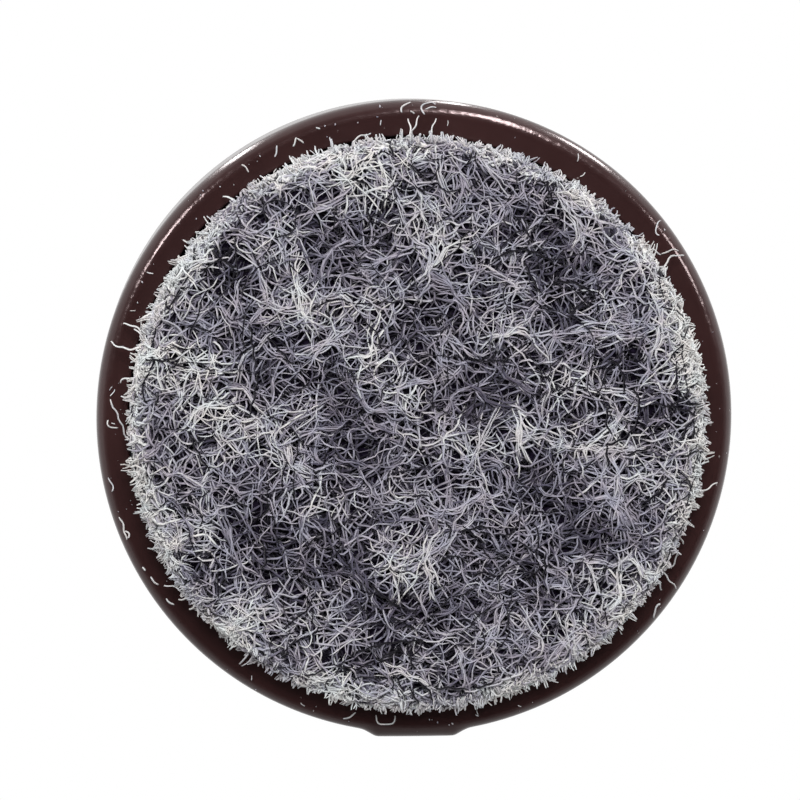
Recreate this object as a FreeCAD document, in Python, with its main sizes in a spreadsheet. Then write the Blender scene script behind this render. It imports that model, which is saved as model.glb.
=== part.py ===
"""Nail-on furniture glide: a moulded cup, a felt disc glued into it and a nail through its middle.

The felt's running face lies on z = 0, centred on the origin, and the nail points up along +Z.
All sizes are in millimetres.
"""

import FreeCAD
import Part
import Sketcher
import enum
import math
import os

# Driving sizes: alias, value, what it measures.
SIZES = (
    ("base_diameter", 22.0, "widest diameter of the cup, at its parting line"),
    ("wall_thickness", 1.1, "cup wall beside the felt, at the parting line"),
    ("wall_draft", 0.07, "how far the wall draws in from the parting line to the seat"),
    ("lip_inset", 0.37, "how far the flat lip's outer edge lies inside the widest diameter"),
    ("lip_rounding", 0.1, "edge rounding of the lip"),
    ("shoulder_height", 0.8, "height of the rounded shoulder from the lip to the parting line"),
    ("recess_depth", 2.4, "depth of the felt's recess below the lip"),
    ("floor_thickness", 2.2, "cup floor from the recess to the seat"),
    ("seat_width", 2.2, "width of the ring that bears on the furniture"),
    ("seat_rounding", 0.3, "edge rounding round the outside of the seat"),
    ("relief_depth", 0.4, "depth of the moulded hollow between the seat ring and the nail boss"),
    ("boss_diameter", 6.0, "boss round the nail, level with the seat"),
    ("gate_width", 2.75, "flat end of the trimmed moulding gate"),
    ("gate_flare", 1.1, "how much wider the gate gets on each side down to the middle of the wall"),
    ("gate_height", 1.2, "height of the gate above the parting line"),
    ("gate_reach", 0.15, "how far the gate's flat end stands out past the widest diameter"),
    ("felt_thickness", 4.4, "felt disc"),
    ("felt_clearance", 0.04, "gap between the felt's side and the recess"),
    ("felt_rounding", 0.8, "soft edge of the felt's running face"),
    ("glue_thickness", 0.1, "glue film between the felt and the floor of the recess"),
    ("glue_margin", 0.3, "how far the glue film stops short of the felt's edge"),
    ("shank_diameter", 2.0, "nail shank"),
    ("neck_diameter", 2.6, "thicker neck of the nail, held in the cup's bore"),
    ("neck_clearance", 0.02, "gap round the neck in the bore"),
    ("nail_reach", 16.0, "nail standing out past the seat"),
    ("point_length", 3.5, "four-sided point of the nail"),
    ("tip_width", 0.3, "blunt square end of the point"),
    ("head_diameter", 5.6, "flat nail head, sunk in the floor of the recess"),
    ("head_thickness", 1.0, "nail head"),
    ("head_clearance", 0.1, "gap round the head in its counterbore"),
)
POINT_FACETS = 4
FULL_TURN = 360
TOLERANCE = 1e-6

# Sizes worked out from the sheet. Heights in the cup are above its lip, heights in the nail above its head.
BASE_R = "(Sizes.base_diameter / 2)"
RECESS_R = f"({BASE_R} - Sizes.wall_thickness)"
LIP_R = f"({BASE_R} - Sizes.lip_inset)"
SEAT_R = f"({BASE_R} - Sizes.wall_draft)"
SEAT_INNER_R = f"({SEAT_R} - Sizes.seat_width)"
BOSS_R = "(Sizes.boss_diameter / 2)"
SHANK_R = "(Sizes.shank_diameter / 2)"
NECK_R = "(Sizes.neck_diameter / 2)"
HEAD_R = "(Sizes.head_diameter / 2)"
BORE_R = f"({NECK_R} + Sizes.neck_clearance)"
COUNTERBORE_R = f"({HEAD_R} + Sizes.head_clearance)"
FELT_R = f"({RECESS_R} - Sizes.felt_clearance)"
GLUE_R = f"({FELT_R} - Sizes.glue_margin)"

LIP_H = "0"
SHOULDER_H = "Sizes.shoulder_height"
FLOOR_H = "Sizes.recess_depth"
COUNTERBORE_H = "(Sizes.recess_depth + Sizes.head_thickness)"
SEAT_H = "(Sizes.recess_depth + Sizes.floor_thickness)"
RELIEF_H = f"({SEAT_H} - Sizes.relief_depth)"

TIP_H = "(Sizes.floor_thickness + Sizes.nail_reach)"
TIP_HALF = "(Sizes.tip_width / 2)"
FACET_OUTER_R = "Sizes.shank_diameter"
FACET_DROP = f"(Sizes.point_length * ({FACET_OUTER_R} - {TIP_HALF}) / ({SHANK_R} - {TIP_HALF}))"
FACET_FOOT_H = f"({TIP_H} - {FACET_DROP})"

# Where each piece stands on the axis.
GLUE_Z = "Sizes.felt_thickness"
NAIL_Z = f"({GLUE_Z} + Sizes.glue_thickness)"
CUP_Z = f"({NAIL_Z} - Sizes.recess_depth)"


class SketchAxis(enum.IntEnum):
    """How a sketch numbers its own axes; its origin is the start of the X axis."""

    X = -1
    Y = -2


class Spot(enum.IntEnum):
    """How a sketch numbers the points of a line or an arc."""

    START = 1
    END = 2
    CENTRE = 3


def add_sheet(doc):
    """Put the driving sizes into a sheet, one named cell each."""
    sheet = doc.addObject("Spreadsheet::Sheet", "Sizes")
    for row, (alias, millimetres, meaning) in enumerate(SIZES, start=1):
        sheet.set(f"A{row}", meaning)
        sheet.set(f"B{row}", str(millimetres))
        sheet.setAlias(f"B{row}", alias)
    doc.recompute()
    return sheet


def value(doc, expression):
    """The number that an expression on the sheet gives now."""
    return float(doc.Sizes.evalExpression(expression))


def add_body(doc, name, height):
    """A body whose own zero stands at the given height on the axis."""
    body = doc.addObject("PartDesign::Body", name)
    body.Label = name
    body.setExpression("Placement.Base.z", height)
    return body


def origin_feature(body, role):
    """One of the body's own base planes or axes."""
    return next(feature for feature in body.Origin.OriginFeatures if feature.Role == role)


def add_sketch(body, name, plane):
    """An empty sketch on one of the body's base planes."""
    sketch = body.newObject("Sketcher::SketchObject", name)
    sketch.AttachmentSupport = (origin_feature(body, plane), "")
    sketch.MapMode = "FlatFace"
    return sketch


def bind(sketch, constraint, name, expression):
    """Add a driving dimension and tie it to an expression on the sheet."""
    index = sketch.addConstraint(constraint)
    sketch.renameConstraint(index, name)
    sketch.setExpression(f"Constraints.{name}", expression)


def place_corner(sketch, line, name, axis, expression):
    """Hold the start of a line at a distance from the sketch's origin along X or Y."""
    distance = value(sketch.Document, expression)
    if distance == 0:
        other_axis = SketchAxis.Y if axis == "X" else SketchAxis.X
        sketch.addConstraint(Sketcher.Constraint("PointOnObject", line, Spot.START, other_axis))
    else:
        ends = (SketchAxis.X, Spot.START, line, Spot.START)
        constraint = Sketcher.Constraint(f"Distance{axis}", *ends, distance)
        bind(sketch, constraint, f"{name}_{axis.lower()}", expression)


def shoulder_arc(lower, upper):
    """Arc from the lower point that stands upright where it reaches the upper one, level with its centre."""
    inset = upper.x - lower.x
    rise = upper.y - lower.y
    radius = (inset**2 + rise**2) / (2 * inset)
    centre = FreeCAD.Vector(upper.x - radius, upper.y, 0)
    half_turn = math.atan2(rise, radius - inset) / 2
    middle = centre + FreeCAD.Vector(math.cos(half_turn), -math.sin(half_turn), 0) * radius
    return Part.ArcOfCircle(lower, middle, upper)


def draw_outline(sketch, corners, arc_from=None):
    """Draw a closed outline through named corners, each given by its two expressions.

    A corner that keeps its neighbour's expression is held level or upright with it, so each size is
    dimensioned once. The stretch that starts at the corner arc_from is a rounded shoulder.
    """
    doc = sketch.Document
    spots = [FreeCAD.Vector(value(doc, across), value(doc, up), 0) for _, across, up in corners]
    count = len(corners)
    for index, (name, _, _) in enumerate(corners):
        start = spots[index]
        end = spots[(index + 1) % count]
        rounded = name == arc_from
        sketch.addGeometry(shoulder_arc(start, end) if rounded else Part.LineSegment(start, end))
    for index in range(count):
        joint = (index, Spot.END, (index + 1) % count, Spot.START)
        sketch.addConstraint(Sketcher.Constraint("Coincident", *joint))
    for index, (name, across, up) in enumerate(corners):
        before = index - 1
        if index > 0 and across == corners[before][1]:
            sketch.addConstraint(Sketcher.Constraint("Vertical", before))
        else:
            place_corner(sketch, index, name, "X", across)
        if index > 0 and up == corners[before][2]:
            sketch.addConstraint(Sketcher.Constraint("Horizontal", before))
        else:
            place_corner(sketch, index, name, "Y", up)
        if name == arc_from:
            sketch.addConstraint(Sketcher.Constraint("Horizontal", index, Spot.CENTRE, index, Spot.END))


def revolve(body, name, corners, arc_from=None):
    """Turn a half section round the body's axis; corners are (name, radius, height)."""
    sketch = add_sketch(body, f"{name}_section", "XZ_Plane")
    draw_outline(sketch, corners, arc_from)
    turned = body.newObject("PartDesign::Revolution", name)
    turned.Profile = sketch
    turned.ReferenceAxis = (sketch, ["V_Axis"])
    turned.Angle = FULL_TURN
    body.Document.recompute()
    return turned


def disc(body, name, radius, thickness):
    """A flat disc on the body's base plane."""
    sketch = add_sketch(body, f"{name}_circle", "XY_Plane")
    start = value(body.Document, radius)
    sketch.addGeometry(Part.Circle(FreeCAD.Vector(0, 0, 0), FreeCAD.Vector(0, 0, 1), start))
    sketch.addConstraint(Sketcher.Constraint("Coincident", 0, Spot.CENTRE, SketchAxis.X, Spot.START))
    bind(sketch, Sketcher.Constraint("Radius", 0, start), "radius", radius)
    pad = body.newObject("PartDesign::Pad", name)
    pad.Profile = sketch
    pad.setExpression("Length", thickness)
    body.Document.recompute()
    return pad


def ring_edges(feature, radius, height):
    """Names of the feature's round edges with this radius at this height."""
    doc = feature.Document
    wanted_radius = value(doc, radius)
    wanted_height = value(doc, height)
    names = []
    for number, edge in enumerate(feature.Shape.Edges, start=1):
        curve = edge.Curve
        if curve.TypeId != "Part::GeomCircle":
            continue
        same_radius = math.isclose(curve.Radius, wanted_radius, abs_tol=TOLERANCE)
        if same_radius and math.isclose(curve.Center.z, wanted_height, abs_tol=TOLERANCE):
            names.append(f"Edge{number}")
    if not names:
        raise RuntimeError(f"{feature.Label} has no edge of radius {radius} at {height}")
    return names


def round_edges(body, name, base, edges, radius):
    """Round the named edges of a feature."""
    fillet = body.newObject("PartDesign::Fillet", name)
    fillet.Base = (base, edges)
    fillet.setExpression("Radius", radius)
    body.Document.recompute()
    return fillet


def add_gate(body):
    """The trimmed stub of the moulding gate, a flat-ended wedge on the +Y side above the parting line."""
    half_tip = "(Sizes.gate_width / 2)"
    half_root = f"({half_tip} + Sizes.gate_flare)"
    root_y = f"({BASE_R} - Sizes.wall_thickness / 2)"
    tip_y = f"({BASE_R} + Sizes.gate_reach)"
    sketch = add_sketch(body, "gate_outline", "XY_Plane")
    sketch.setExpression("AttachmentOffset.Base.z", SHOULDER_H)
    draw_outline(
        sketch,
        (
            ("left_root", f"-{half_root}", root_y),
            ("right_root", half_root, root_y),
            ("right_tip", half_tip, tip_y),
            ("left_tip", f"-{half_tip}", tip_y),
        ),
    )
    gate = body.newObject("PartDesign::Pad", "gate")
    gate.Profile = sketch
    gate.setExpression("Length", "Sizes.gate_height")
    body.Document.recompute()
    return gate


def add_cup(doc):
    """Moulded cup: a flat lip, a rounded shoulder and a drafted wall outside, a felt recess with a nail
    counterbore on one side and a seat ring, a shallow hollow and a nail boss on the other."""
    body = add_body(doc, "cup", CUP_Z)
    revolve(
        body,
        "cup_shell",
        (
            ("counterbore_floor", BORE_R, COUNTERBORE_H),
            ("counterbore_edge", COUNTERBORE_R, COUNTERBORE_H),
            ("counterbore_mouth", COUNTERBORE_R, FLOOR_H),
            ("recess_corner", RECESS_R, FLOOR_H),
            ("lip_inside", RECESS_R, LIP_H),
            ("lip_outside", LIP_R, LIP_H),
            ("parting_line", BASE_R, SHOULDER_H),
            ("seat_outside", SEAT_R, SEAT_H),
            ("seat_inside", SEAT_INNER_R, SEAT_H),
            ("relief_outside", SEAT_INNER_R, RELIEF_H),
            ("relief_inside", BOSS_R, RELIEF_H),
            ("boss_edge", BOSS_R, SEAT_H),
            ("bore_mouth", BORE_R, SEAT_H),
        ),
        arc_from="lip_outside",
    )
    gate = add_gate(body)
    seat_edge = ring_edges(gate, SEAT_R, SEAT_H)
    rounded_seat = round_edges(body, "seat_edge", gate, seat_edge, "Sizes.seat_rounding")
    lip_edges = ring_edges(rounded_seat, LIP_R, LIP_H) + ring_edges(rounded_seat, RECESS_R, LIP_H)
    round_edges(body, "lip_edges", rounded_seat, lip_edges, "Sizes.lip_rounding")
    return body


def add_nail(doc):
    """Wire nail: a flat head, a neck as long as the cup's bore, a plain shank that starts level with the seat
    and a four-sided point cut by one facet and its turned copies."""
    body = add_body(doc, "nail", NAIL_Z)
    wire = revolve(
        body,
        "nail_wire",
        (
            ("head_middle", "0", "0"),
            ("head_rim", HEAD_R, "0"),
            ("head_back", HEAD_R, "Sizes.head_thickness"),
            ("neck_root", NECK_R, "Sizes.head_thickness"),
            ("neck_end", NECK_R, "Sizes.floor_thickness"),
            ("shank_root", SHANK_R, "Sizes.floor_thickness"),
            ("shank_end", SHANK_R, TIP_H),
            ("tip_middle", "0", TIP_H),
        ),
    )
    sketch = add_sketch(body, "facet_outline", "XZ_Plane")
    draw_outline(
        sketch,
        (
            ("facet_tip", TIP_HALF, TIP_H),
            ("facet_foot", FACET_OUTER_R, FACET_FOOT_H),
            ("facet_corner", FACET_OUTER_R, TIP_H),
        ),
    )
    facet = body.newObject("PartDesign::Pocket", "facet")
    facet.Profile = sketch
    facet.Type = "ThroughAll"
    facet.Midplane = True
    doc.recompute()
    if facet.Shape.Volume >= wire.Shape.Volume:
        raise RuntimeError("the point's facet cuts nothing")
    point = body.newObject("PartDesign::PolarPattern", "point")
    point.Originals = [facet]
    point.Axis = (origin_feature(body, "Z_Axis"), [""])
    point.Angle = FULL_TURN
    point.Occurrences = POINT_FACETS
    body.Tip = point
    doc.recompute()
    return body


def add_felt_pad(doc):
    """Felt disc that fills the recess and stands proud of the lip, with a soft running edge."""
    body = add_body(doc, "felt_pad", "0")
    pad = disc(body, "felt_disc", FELT_R, "Sizes.felt_thickness")
    round_edges(body, "felt_edge", pad, ring_edges(pad, FELT_R, "0"), "Sizes.felt_rounding")
    return body


def add_glue_film(doc):
    """Thin glue film that holds the felt to the floor of the recess and covers the nail head."""
    body = add_body(doc, "glue_film", GLUE_Z)
    disc(body, "glue_disc", GLUE_R, "Sizes.glue_thickness")
    return body


def check(doc, bodies):
    """Stop if a feature failed or a piece isn't one sound solid."""
    for item in doc.Objects:
        faults = {"Invalid", "Error"}.intersection(item.State)
        if faults:
            raise RuntimeError(f"{item.Label} is {faults}")
    for body in bodies:
        shape = body.Shape
        if shape.isNull() or not shape.isValid() or len(shape.Solids) != 1:
            raise RuntimeError(f"{body.Label} is not one sound solid")


def main():
    doc = FreeCAD.newDocument("nail_on_glide")
    add_sheet(doc)
    bodies = [add_cup(doc), add_nail(doc), add_felt_pad(doc), add_glue_film(doc)]
    doc.recompute()
    check(doc, bodies)
    os.makedirs("parts", exist_ok=True)
    for body in bodies:
        body.Shape.exportStep(f"parts/{body.Label}.step")
        box = body.Shape.BoundBox
        print(f"{body.Label}: z {box.ZMin:.3f} to {box.ZMax:.3f}, volume {body.Shape.Volume:.2f}")


main()
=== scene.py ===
"""Looks of a felt-faced nail-on furniture glide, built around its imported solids.

All lengths are in metres, in the frame of the solids: the felt's running face lies on z = 0 and looks
down, the nail points up along +Z, and the trimmed moulding gate is on the +Y side.
"""

import math
from dataclasses import dataclass

import bmesh
import bpy
import numpy as np
from mathutils import Matrix, Vector


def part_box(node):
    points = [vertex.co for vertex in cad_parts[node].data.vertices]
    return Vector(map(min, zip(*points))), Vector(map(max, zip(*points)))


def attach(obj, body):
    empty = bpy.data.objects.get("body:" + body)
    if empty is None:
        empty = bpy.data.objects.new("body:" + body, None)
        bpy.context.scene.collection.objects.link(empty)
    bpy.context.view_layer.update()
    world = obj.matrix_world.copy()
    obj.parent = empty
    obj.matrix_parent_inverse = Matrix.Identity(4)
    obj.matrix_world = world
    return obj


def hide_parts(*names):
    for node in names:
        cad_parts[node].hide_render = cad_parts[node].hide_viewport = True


bl_info = {
    "name": "Nail-on furniture glide",
    "version": (1, 0, 0),
    "blender": (4, 5, 0),
    "location": "3D View > Sidebar > Glide",
    "description": "Builds the visible pieces of a felt-faced furniture glide around its solids",
    "category": "Object",
}

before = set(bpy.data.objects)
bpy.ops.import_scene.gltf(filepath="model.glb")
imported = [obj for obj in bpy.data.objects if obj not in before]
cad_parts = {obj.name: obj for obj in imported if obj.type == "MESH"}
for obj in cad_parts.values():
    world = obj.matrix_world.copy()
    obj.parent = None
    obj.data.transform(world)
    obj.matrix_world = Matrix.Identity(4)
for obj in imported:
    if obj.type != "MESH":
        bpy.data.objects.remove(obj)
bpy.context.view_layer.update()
CUP_LOW, CUP_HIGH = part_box("cup")
FELT_LOW, FELT_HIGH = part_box("felt_pad")
NAIL_LOW, NAIL_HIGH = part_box("nail")

BODY = "root"
FELT_NODES = ("felt_pad",)
BAKE_MAP = "OFBake"
TONE = "tone"

MM = 0.001
FULL_TURN = 2 * math.pi
MERGE_DISTANCE = 1e-8
PICTURE_WIDTH = 800
SENSOR_WIDTH_MM = 36.0


def length(name, description, default):
    """A length property in metres."""
    return bpy.props.FloatProperty(
        name=name, description=description, default=default, unit="LENGTH", precision=6
    )


def number(name, description, default):
    """A plain number property."""
    return bpy.props.FloatProperty(name=name, description=description, default=default)


def count_of(name, description, default):
    """A whole number property."""
    return bpy.props.IntProperty(name=name, description=description, default=default, min=0)


def angle(name, description, default_degrees):
    """An angle property."""
    return bpy.props.FloatProperty(
        name=name, description=description, default=math.radians(default_degrees), subtype="ANGLE"
    )


def colour(name, description, default):
    """A colour property."""
    return bpy.props.FloatVectorProperty(
        name=name, description=description, default=default, subtype="COLOR", size=3, min=0.0, max=1.0
    )


class CupSettings(bpy.types.PropertyGroup):
    """Section and finish of the moulded cup."""

    wall: length("Wall", "Wall beside the felt, at the widest diameter", 1.1 * MM)
    draft: length("Draft", "How far the wall draws in up to the seat", 0.07 * MM)
    lip_inset: length("Lip inset", "From the widest diameter in to the lip", 0.37 * MM)
    lip_rounding: length("Lip rounding", "Inner edge of the lip", 0.1 * MM)
    lip_edge: length("Lip edge", "Outer edge of the lip", 0.45 * MM)
    shoulder_height: length("Shoulder height", "From the lip to the widest diameter", 0.8 * MM)
    recess_depth: length("Recess depth", "Depth of the felt's recess", 2.4 * MM)
    seat_width: length("Seat width", "Ring that bears on the furniture", 2.2 * MM)
    seat_rounding: length("Seat rounding", "Outer edge of the seat", 0.3 * MM)
    relief_depth: length("Relief depth", "Hollow between the seat ring and the boss", 0.4 * MM)
    boss_radius: length("Boss radius", "Boss round the nail", 3.0 * MM)
    bore_radius: length("Bore radius", "Hole for the nail's neck", 1.32 * MM)
    counterbore_radius: length("Counterbore radius", "Room for the nail's head", 2.9 * MM)
    counterbore_depth: length("Counterbore depth", "Depth of that room", 1.0 * MM)
    small_rounding: length("Small rounding", "Other moulded edges", 0.05 * MM)
    gate_width: length("Gate width", "Flat end of the trimmed gate", 2.75 * MM)
    gate_flare: length("Gate flare", "How much wider the gate is on each side at its root", 1.1 * MM)
    gate_height: length("Gate height", "Height of the gate above the widest diameter", 1.2 * MM)
    plastic: colour("Plastic", "Colour of the plastic", (0.033, 0.0137, 0.0135))
    gloss: colour("Gloss", "Tint of the plastic's gloss", (1.0, 0.8, 0.805))
    columns: count_of("Columns", "Steps round the axis", 240)
    gate_columns: count_of("Gate columns", "Finer steps across the gate", 90)


class NailSettings(bpy.types.PropertyGroup):
    """Section and finish of the nail."""

    head_thickness: length("Head thickness", "Flat head", 1.0 * MM)
    neck_radius: length("Neck radius", "Neck in the cup's bore", 1.3 * MM)
    shank_radius: length("Shank radius", "Plain shank", 1.0 * MM)
    point_length: length("Point length", "Four-sided point", 3.5 * MM)
    tip_width: length("Tip width", "Blunt end of the point", 0.3 * MM)
    edge_rounding: length("Edge rounding", "Rims of the head and neck", 0.06 * MM)
    steel: colour("Steel", "Colour of the plated steel", (0.42, 0.42, 0.425))
    columns: count_of("Columns", "Steps round the axis", 96)


class FeltSettings(bpy.types.PropertyGroup):
    """Body and fibres of the felt."""

    edge_rounding: length("Edge rounding", "Soft edge of the running face", 0.8 * MM)
    short_by: length("Short by", "How far the felt was cut short on one side", 0.16 * MM)
    short_side: angle("Short side", "Bearing of the side that was cut short", 285.0)
    body_depth: length("Body depth", "How far the dense body lies under the fibres' tops", 0.62 * MM)
    rim_depth: length("Rim depth", "How far the dense body lies under the felt's side", 0.2 * MM)
    body_lumps: length("Body lumps", "Unevenness of the dense body", 0.08 * MM)
    fibre_radius: length("Fibre radius", "Mean radius of a fibre", 0.034 * MM)
    tuft_size: length("Tuft size", "Typical width of a pale or dark patch", 2.6 * MM)
    web_size: length("Web size", "Typical width of a web of fibres", 0.66 * MM)
    web_reach: length("Web reach", "How far fibres are drawn together into webs", 0.045 * MM)
    # Fibre colours along the tone. The deeper layers take the darker ones as painted shade within the
    # felt; the darkest is also the black fibres' own colour.
    dark: colour("Dark", "Darkest fibres", (0.006, 0.004, 0.01))
    shaded: colour("Shaded", "Fibres deep in the felt", (0.12, 0.108, 0.156))
    middle: colour("Middle", "Most fibres", (0.5, 0.475, 0.56))
    pale: colour("Pale", "Palest fibres", (0.9, 0.9, 0.88))
    cool: colour("Cool", "Tint of the bluer fibres", (0.94, 0.975, 1.0))
    warm: colour("Warm", "Tint of the redder fibres", (1.0, 0.96, 0.95))
    # Painted shade: the dense body's near-black colour stands for the shade deep between the fibres.
    painted_gap_shade: colour("Gaps", "Dense body seen between the fibres", (0.01, 0.007, 0.016))
    seed: count_of("Seed", "Start of the random draws", 7)


class StageSettings(bpy.types.PropertyGroup):
    """Camera, surroundings and floor."""

    distance: length("Distance", "From the camera to the cup's widest circle", 150.0 * MM)
    tilt: angle("Tilt", "How far the camera stands off the axis", 6.34)
    bearing: angle("Bearing", "Side of the axis that the camera stands on", 238.3)
    centre_across: number("Centre across", "Where the widest circle's middle shows, in pixels", 414.8)
    centre_down: number("Centre down", "Where the widest circle's middle shows, in pixels", 417.6)
    circle_radius: number("Circle radius", "How large the widest circle shows, in pixels", 317.8)
    below: number("Below", "Light of the surroundings from straight below", 0.12)
    beside: number("Beside", "Light of the surroundings from the horizon and above", 1.15)
    floor_radius: length("Floor radius", "Reach of the floor", 400.0 * MM)


# Meshes from whole arrays.


def unit(vectors):
    """Vectors scaled to length one."""
    return vectors / np.linalg.norm(vectors, axis=-1, keepdims=True)


def add_piece(name, points, loops, starts, material, nodes=()):
    """A smooth mesh object from flat arrays: points, corner indices and first corners of the faces."""
    mesh = bpy.data.meshes.new(name)
    mesh.vertices.add(len(points))
    mesh.vertices.foreach_set("co", np.asarray(points, np.float32).ravel())
    mesh.loops.add(len(loops))
    mesh.loops.foreach_set("vertex_index", np.asarray(loops, np.int32))
    mesh.polygons.add(len(starts))
    mesh.polygons.foreach_set("loop_start", np.asarray(starts, np.int32))
    mesh.update(calc_edges=True)
    mesh.shade_smooth()
    mesh.materials.append(material)
    piece = bpy.data.objects.new(name, mesh)
    bpy.context.scene.collection.objects.link(piece)
    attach(piece, BODY)
    if nodes:
        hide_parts(*nodes)
    return piece


def ring_quads(rows, columns, closed):
    """Corner indices of the quads between neighbouring rings, the last joined to the first if closed."""
    row = np.arange(rows if closed else rows - 1)[:, None]
    column = np.arange(columns)[None, :]
    here = row * columns
    above = (row + 1) % rows * columns
    beside = (column + 1) % columns
    quads = np.stack((here + column, here + beside, above + beside, above + column), axis=-1)
    return quads.reshape(-1, 4)


def add_rings(name, rings, closed, material, nodes):
    """A piece from rings, rows by columns by three. A ring that is one point becomes a pole."""
    rows, columns, _ = rings.shape
    quads = ring_quads(rows, columns, closed)
    starts = np.arange(len(quads)) * 4
    piece = add_piece(name, rings.reshape(-1, 3), quads.ravel(), starts, material, nodes)
    shell = bmesh.new()
    shell.from_mesh(piece.data)
    bmesh.ops.remove_doubles(shell, verts=shell.verts, dist=MERGE_DISTANCE)
    bmesh.ops.recalc_face_normals(shell, faces=shell.faces)
    shell.to_mesh(piece.data)
    shell.free()
    return piece


def round_steps(corners, roundings, arc_points, side_shares, closed):
    """An outline with its corners rounded off and a few points along each straight side.

    At a corner with half angle h the arc of radius q touches both sides q / tan(h) away, and its centre
    lies q / sin(h) away on the bisector. Its points come from turning the first spoke evenly into the
    last. An open outline keeps its two ends as they are.
    """
    before = unit(np.roll(corners, 1, axis=0) - corners)
    after = unit(np.roll(corners, -1, axis=0) - corners)
    half = np.arccos(np.clip((before * after).sum(1), -1, 1)) / 2
    radius = roundings[:, None]
    centre = corners + unit(before + after) * radius / np.sin(half)[:, None]
    first = corners + before * radius / np.tan(half)[:, None] - centre
    last = corners + after * radius / np.tan(half)[:, None] - centre
    sweep = (math.pi - 2 * half)[:, None]
    share = np.linspace(0, 1, arc_points)[None, :]
    from_first = (np.sin((1 - share) * sweep) / np.sin(sweep))[..., None]
    from_last = (np.sin(share * sweep) / np.sin(sweep))[..., None]
    arcs = centre[:, None] + first[:, None] * from_first + last[:, None] * from_last
    if not closed:
        arcs[0] = corners[0]
        arcs[-1] = corners[-1]
    leave = arcs[:, -1]
    arrive = np.roll(arcs[:, 0], -1, axis=0)
    along = np.asarray(side_shares)[None, :, None]
    sides = leave[:, None] * (1 - along) + arrive[:, None] * along
    outline = np.concatenate((arcs, sides), axis=1).reshape(-1, 2)
    if closed:
        return outline
    spare = arc_points - 1
    return outline[spare : len(outline) - len(side_shares) - spare]


def even_turns(columns):
    """Angles at even steps round the axis."""
    return np.linspace(0, FULL_TURN, columns, endpoint=False)


def turn_round(radii, heights, turns):
    """Rings at the given radii, which may differ round the axis, and heights."""
    radii = np.broadcast_to(radii, (len(heights), len(turns)))
    across = radii * np.cos(turns)
    along = radii * np.sin(turns)
    return np.stack((across, along, np.broadcast_to(heights[:, None], radii.shape)), axis=-1)


# Procedural materials.

# Noise, in features to the metre.
FLOW_MARKS = 260.0
PEEL = 5200.0
RUBS = 1500.0
GRAINS = 2400.0
BURR = 3200.0
WIRE_LINES = 9000.0
PLATING = 700.0
BUBBLES = 1800.0
STREAKS = 7000.0
DRIFT = 2600.0
TINT = 1600.0
# Dust on the plastic: size of a grain as a share of their spacing, noise above which it stays, how much
# it covers, and its colour.
GRAIN_REACH = 0.09
DUSTY_FROM = 0.56
DUST_COVER = 0.35
DUST_SHADE = (0.5, 0.45, 0.44, 1.0)
# Relief of the plastic: share of the orange peel, and how far the burr reaches from the lip's edge.
PEEL_SHARE = 0.08
BURR_REACH = 0.25 * MM
# The lines of the wire are drawn out along the shank.
WIRE_STRETCH = (1.0, 1.0, 0.04)
GLUE_DARK = (0.5, 0.42, 0.27)
GLUE_PALE = (0.72, 0.66, 0.5)


class Nodes:
    """A short way to add and link the nodes of one tree."""

    def __init__(self, tree):
        self.tree = tree
        tree.nodes.clear()

    def add(self, kind, settings=None, **sockets):
        """A node with its settings. Sockets have _ for a space and take a value or an output."""
        node = self.tree.nodes.new(kind)
        for name, setting in (settings or {}).items():
            setattr(node, name, setting)
        for name, given in sockets.items():
            self.plug(node.inputs[name.replace("_", " ")], given)
        return node

    def plug(self, socket, given):
        """Set a socket to a value, or link it to an output."""
        if isinstance(given, bpy.types.NodeSocket):
            self.tree.links.new(given, socket)
        else:
            socket.default_value = given

    def math(self, operation, *operands):
        """The output of a math node on numbers and outputs."""
        node = self.add("ShaderNodeMath", {"operation": operation})
        for socket, given in zip(node.inputs, operands):
            self.plug(socket, given)
        return node.outputs[0]

    def size(self, vector):
        """The length of a vector."""
        node = self.add("ShaderNodeVectorMath", {"operation": "LENGTH"}, Vector=vector)
        return node.outputs["Value"]

    def off_axis(self, where):
        """The distance of a point from the Z axis."""
        flat = self.add("ShaderNodeVectorMath", {"operation": "MULTIPLY"}, Vector=where)
        flat.inputs[1].default_value = (1.0, 1.0, 0.0)
        return self.size(flat.outputs[0])

    def between(self, value, low, high, start=0.0, end=1.0, steps="LINEAR"):
        """A number in the range from start to end taken to the range from low to high."""
        node = self.add(
            "ShaderNodeMapRange",
            {"interpolation_type": steps},
            Value=value,
            From_Min=start,
            From_Max=end,
            To_Min=low,
            To_Max=high,
        )
        return node.outputs["Result"]

    def noise(self, where, scale, detail=3.0, roughness=0.55):
        """Noise of about the given number of features to the metre."""
        node = self.add(
            "ShaderNodeTexNoise", Vector=where, Scale=scale, Detail=detail, Roughness=roughness
        )
        return node.outputs["Fac"]

    def ramp(self, value, *stops):
        """A colour ramp through (place, colour) stops."""
        node = self.add("ShaderNodeValToRGB", Fac=value)
        elements = node.color_ramp.elements
        while len(elements) < len(stops):
            elements.new(0.5)
        for element, (place, shade) in zip(elements, stops):
            element.position = place
            element.color = (*shade, 1.0)
        return node.outputs["Color"]

    def mix(self, factor, first, second, blend="MIX"):
        """Two colours mixed by a factor."""
        node = self.add(
            "ShaderNodeMixRGB", {"blend_type": blend}, Fac=factor, Color1=first, Color2=second
        )
        return node.outputs[0]

    def mix_shaders(self, factor, first, second):
        """Two shaders mixed by a factor."""
        node = self.add("ShaderNodeMixShader", Fac=factor)
        self.plug(node.inputs[1], first)
        self.plug(node.inputs[2], second)
        return node.outputs[0]

    def bump(self, height, strength, distance):
        """Normals tilted by a height."""
        node = self.add("ShaderNodeBump", Height=height, Strength=strength, Distance=distance)
        return node.outputs["Normal"]


def new_material(name):
    """An empty material, its nodes and the object's own coordinates."""
    material = bpy.data.materials.new(name)
    material.use_nodes = True
    nodes = Nodes(material.node_tree)
    where = nodes.add("ShaderNodeTexCoord").outputs["Object"]
    return material, nodes, where


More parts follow.
